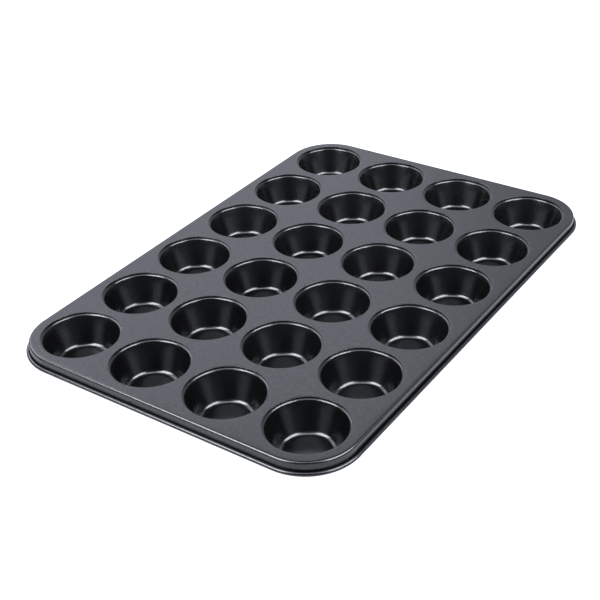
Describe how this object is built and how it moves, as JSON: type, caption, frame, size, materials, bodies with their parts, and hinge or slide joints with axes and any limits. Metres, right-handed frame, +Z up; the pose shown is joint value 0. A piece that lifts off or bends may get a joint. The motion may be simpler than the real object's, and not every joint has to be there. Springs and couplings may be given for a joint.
{
  "type": "muffin tin",
  "caption": "Rectangular muffin tin: round tapered cups seated in rows in a flat steel tray with round corners, a short skirt and a wired rolled rim.",
  "frame": {"origin": "on the surface that the cups stand on, at the centre of the tray", "axes": "+Z up out of the cups; +X across the short side; +Y along the long side, away from the end whose skirt has the small hole"},
  "size_m": [0.3548, 0.5228, 0.0305],
  "materials": {
    "tray_coating": "satin dark grey non-stick coating on sheet steel",
    "cup_coating": "satin dark grey non-stick coating on drawn steel",
    "wire_steel": "plain drawn steel wire"
  },
  "bodies": {
    "root": {"tray_panel": "tray_coating", "rim_wire": "wire_steel", "cup_a1": "cup_coating", "cup_b1": "cup_coating", "cup_c1": "cup_coating", "cup_d1": "cup_coating", "cup_a2": "cup_coating", "cup_b2": "cup_coating", "cup_c2": "cup_coating", "cup_d2": "cup_coating", "cup_a3": "cup_coating", "cup_b3": "cup_coating", "cup_c3": "cup_coating", "cup_d3": "cup_coating", "cup_a4": "cup_coating", "cup_b4": "cup_coating", "cup_c4": "cup_coating", "cup_d4": "cup_coating", "cup_a5": "cup_coating", "cup_b5": "cup_coating", "cup_c5": "cup_coating", "cup_d5": "cup_coating", "cup_a6": "cup_coating", "cup_b6": "cup_coating", "cup_c6": "cup_coating", "cup_d6": "cup_coating"}
  },
  "joints": []
}
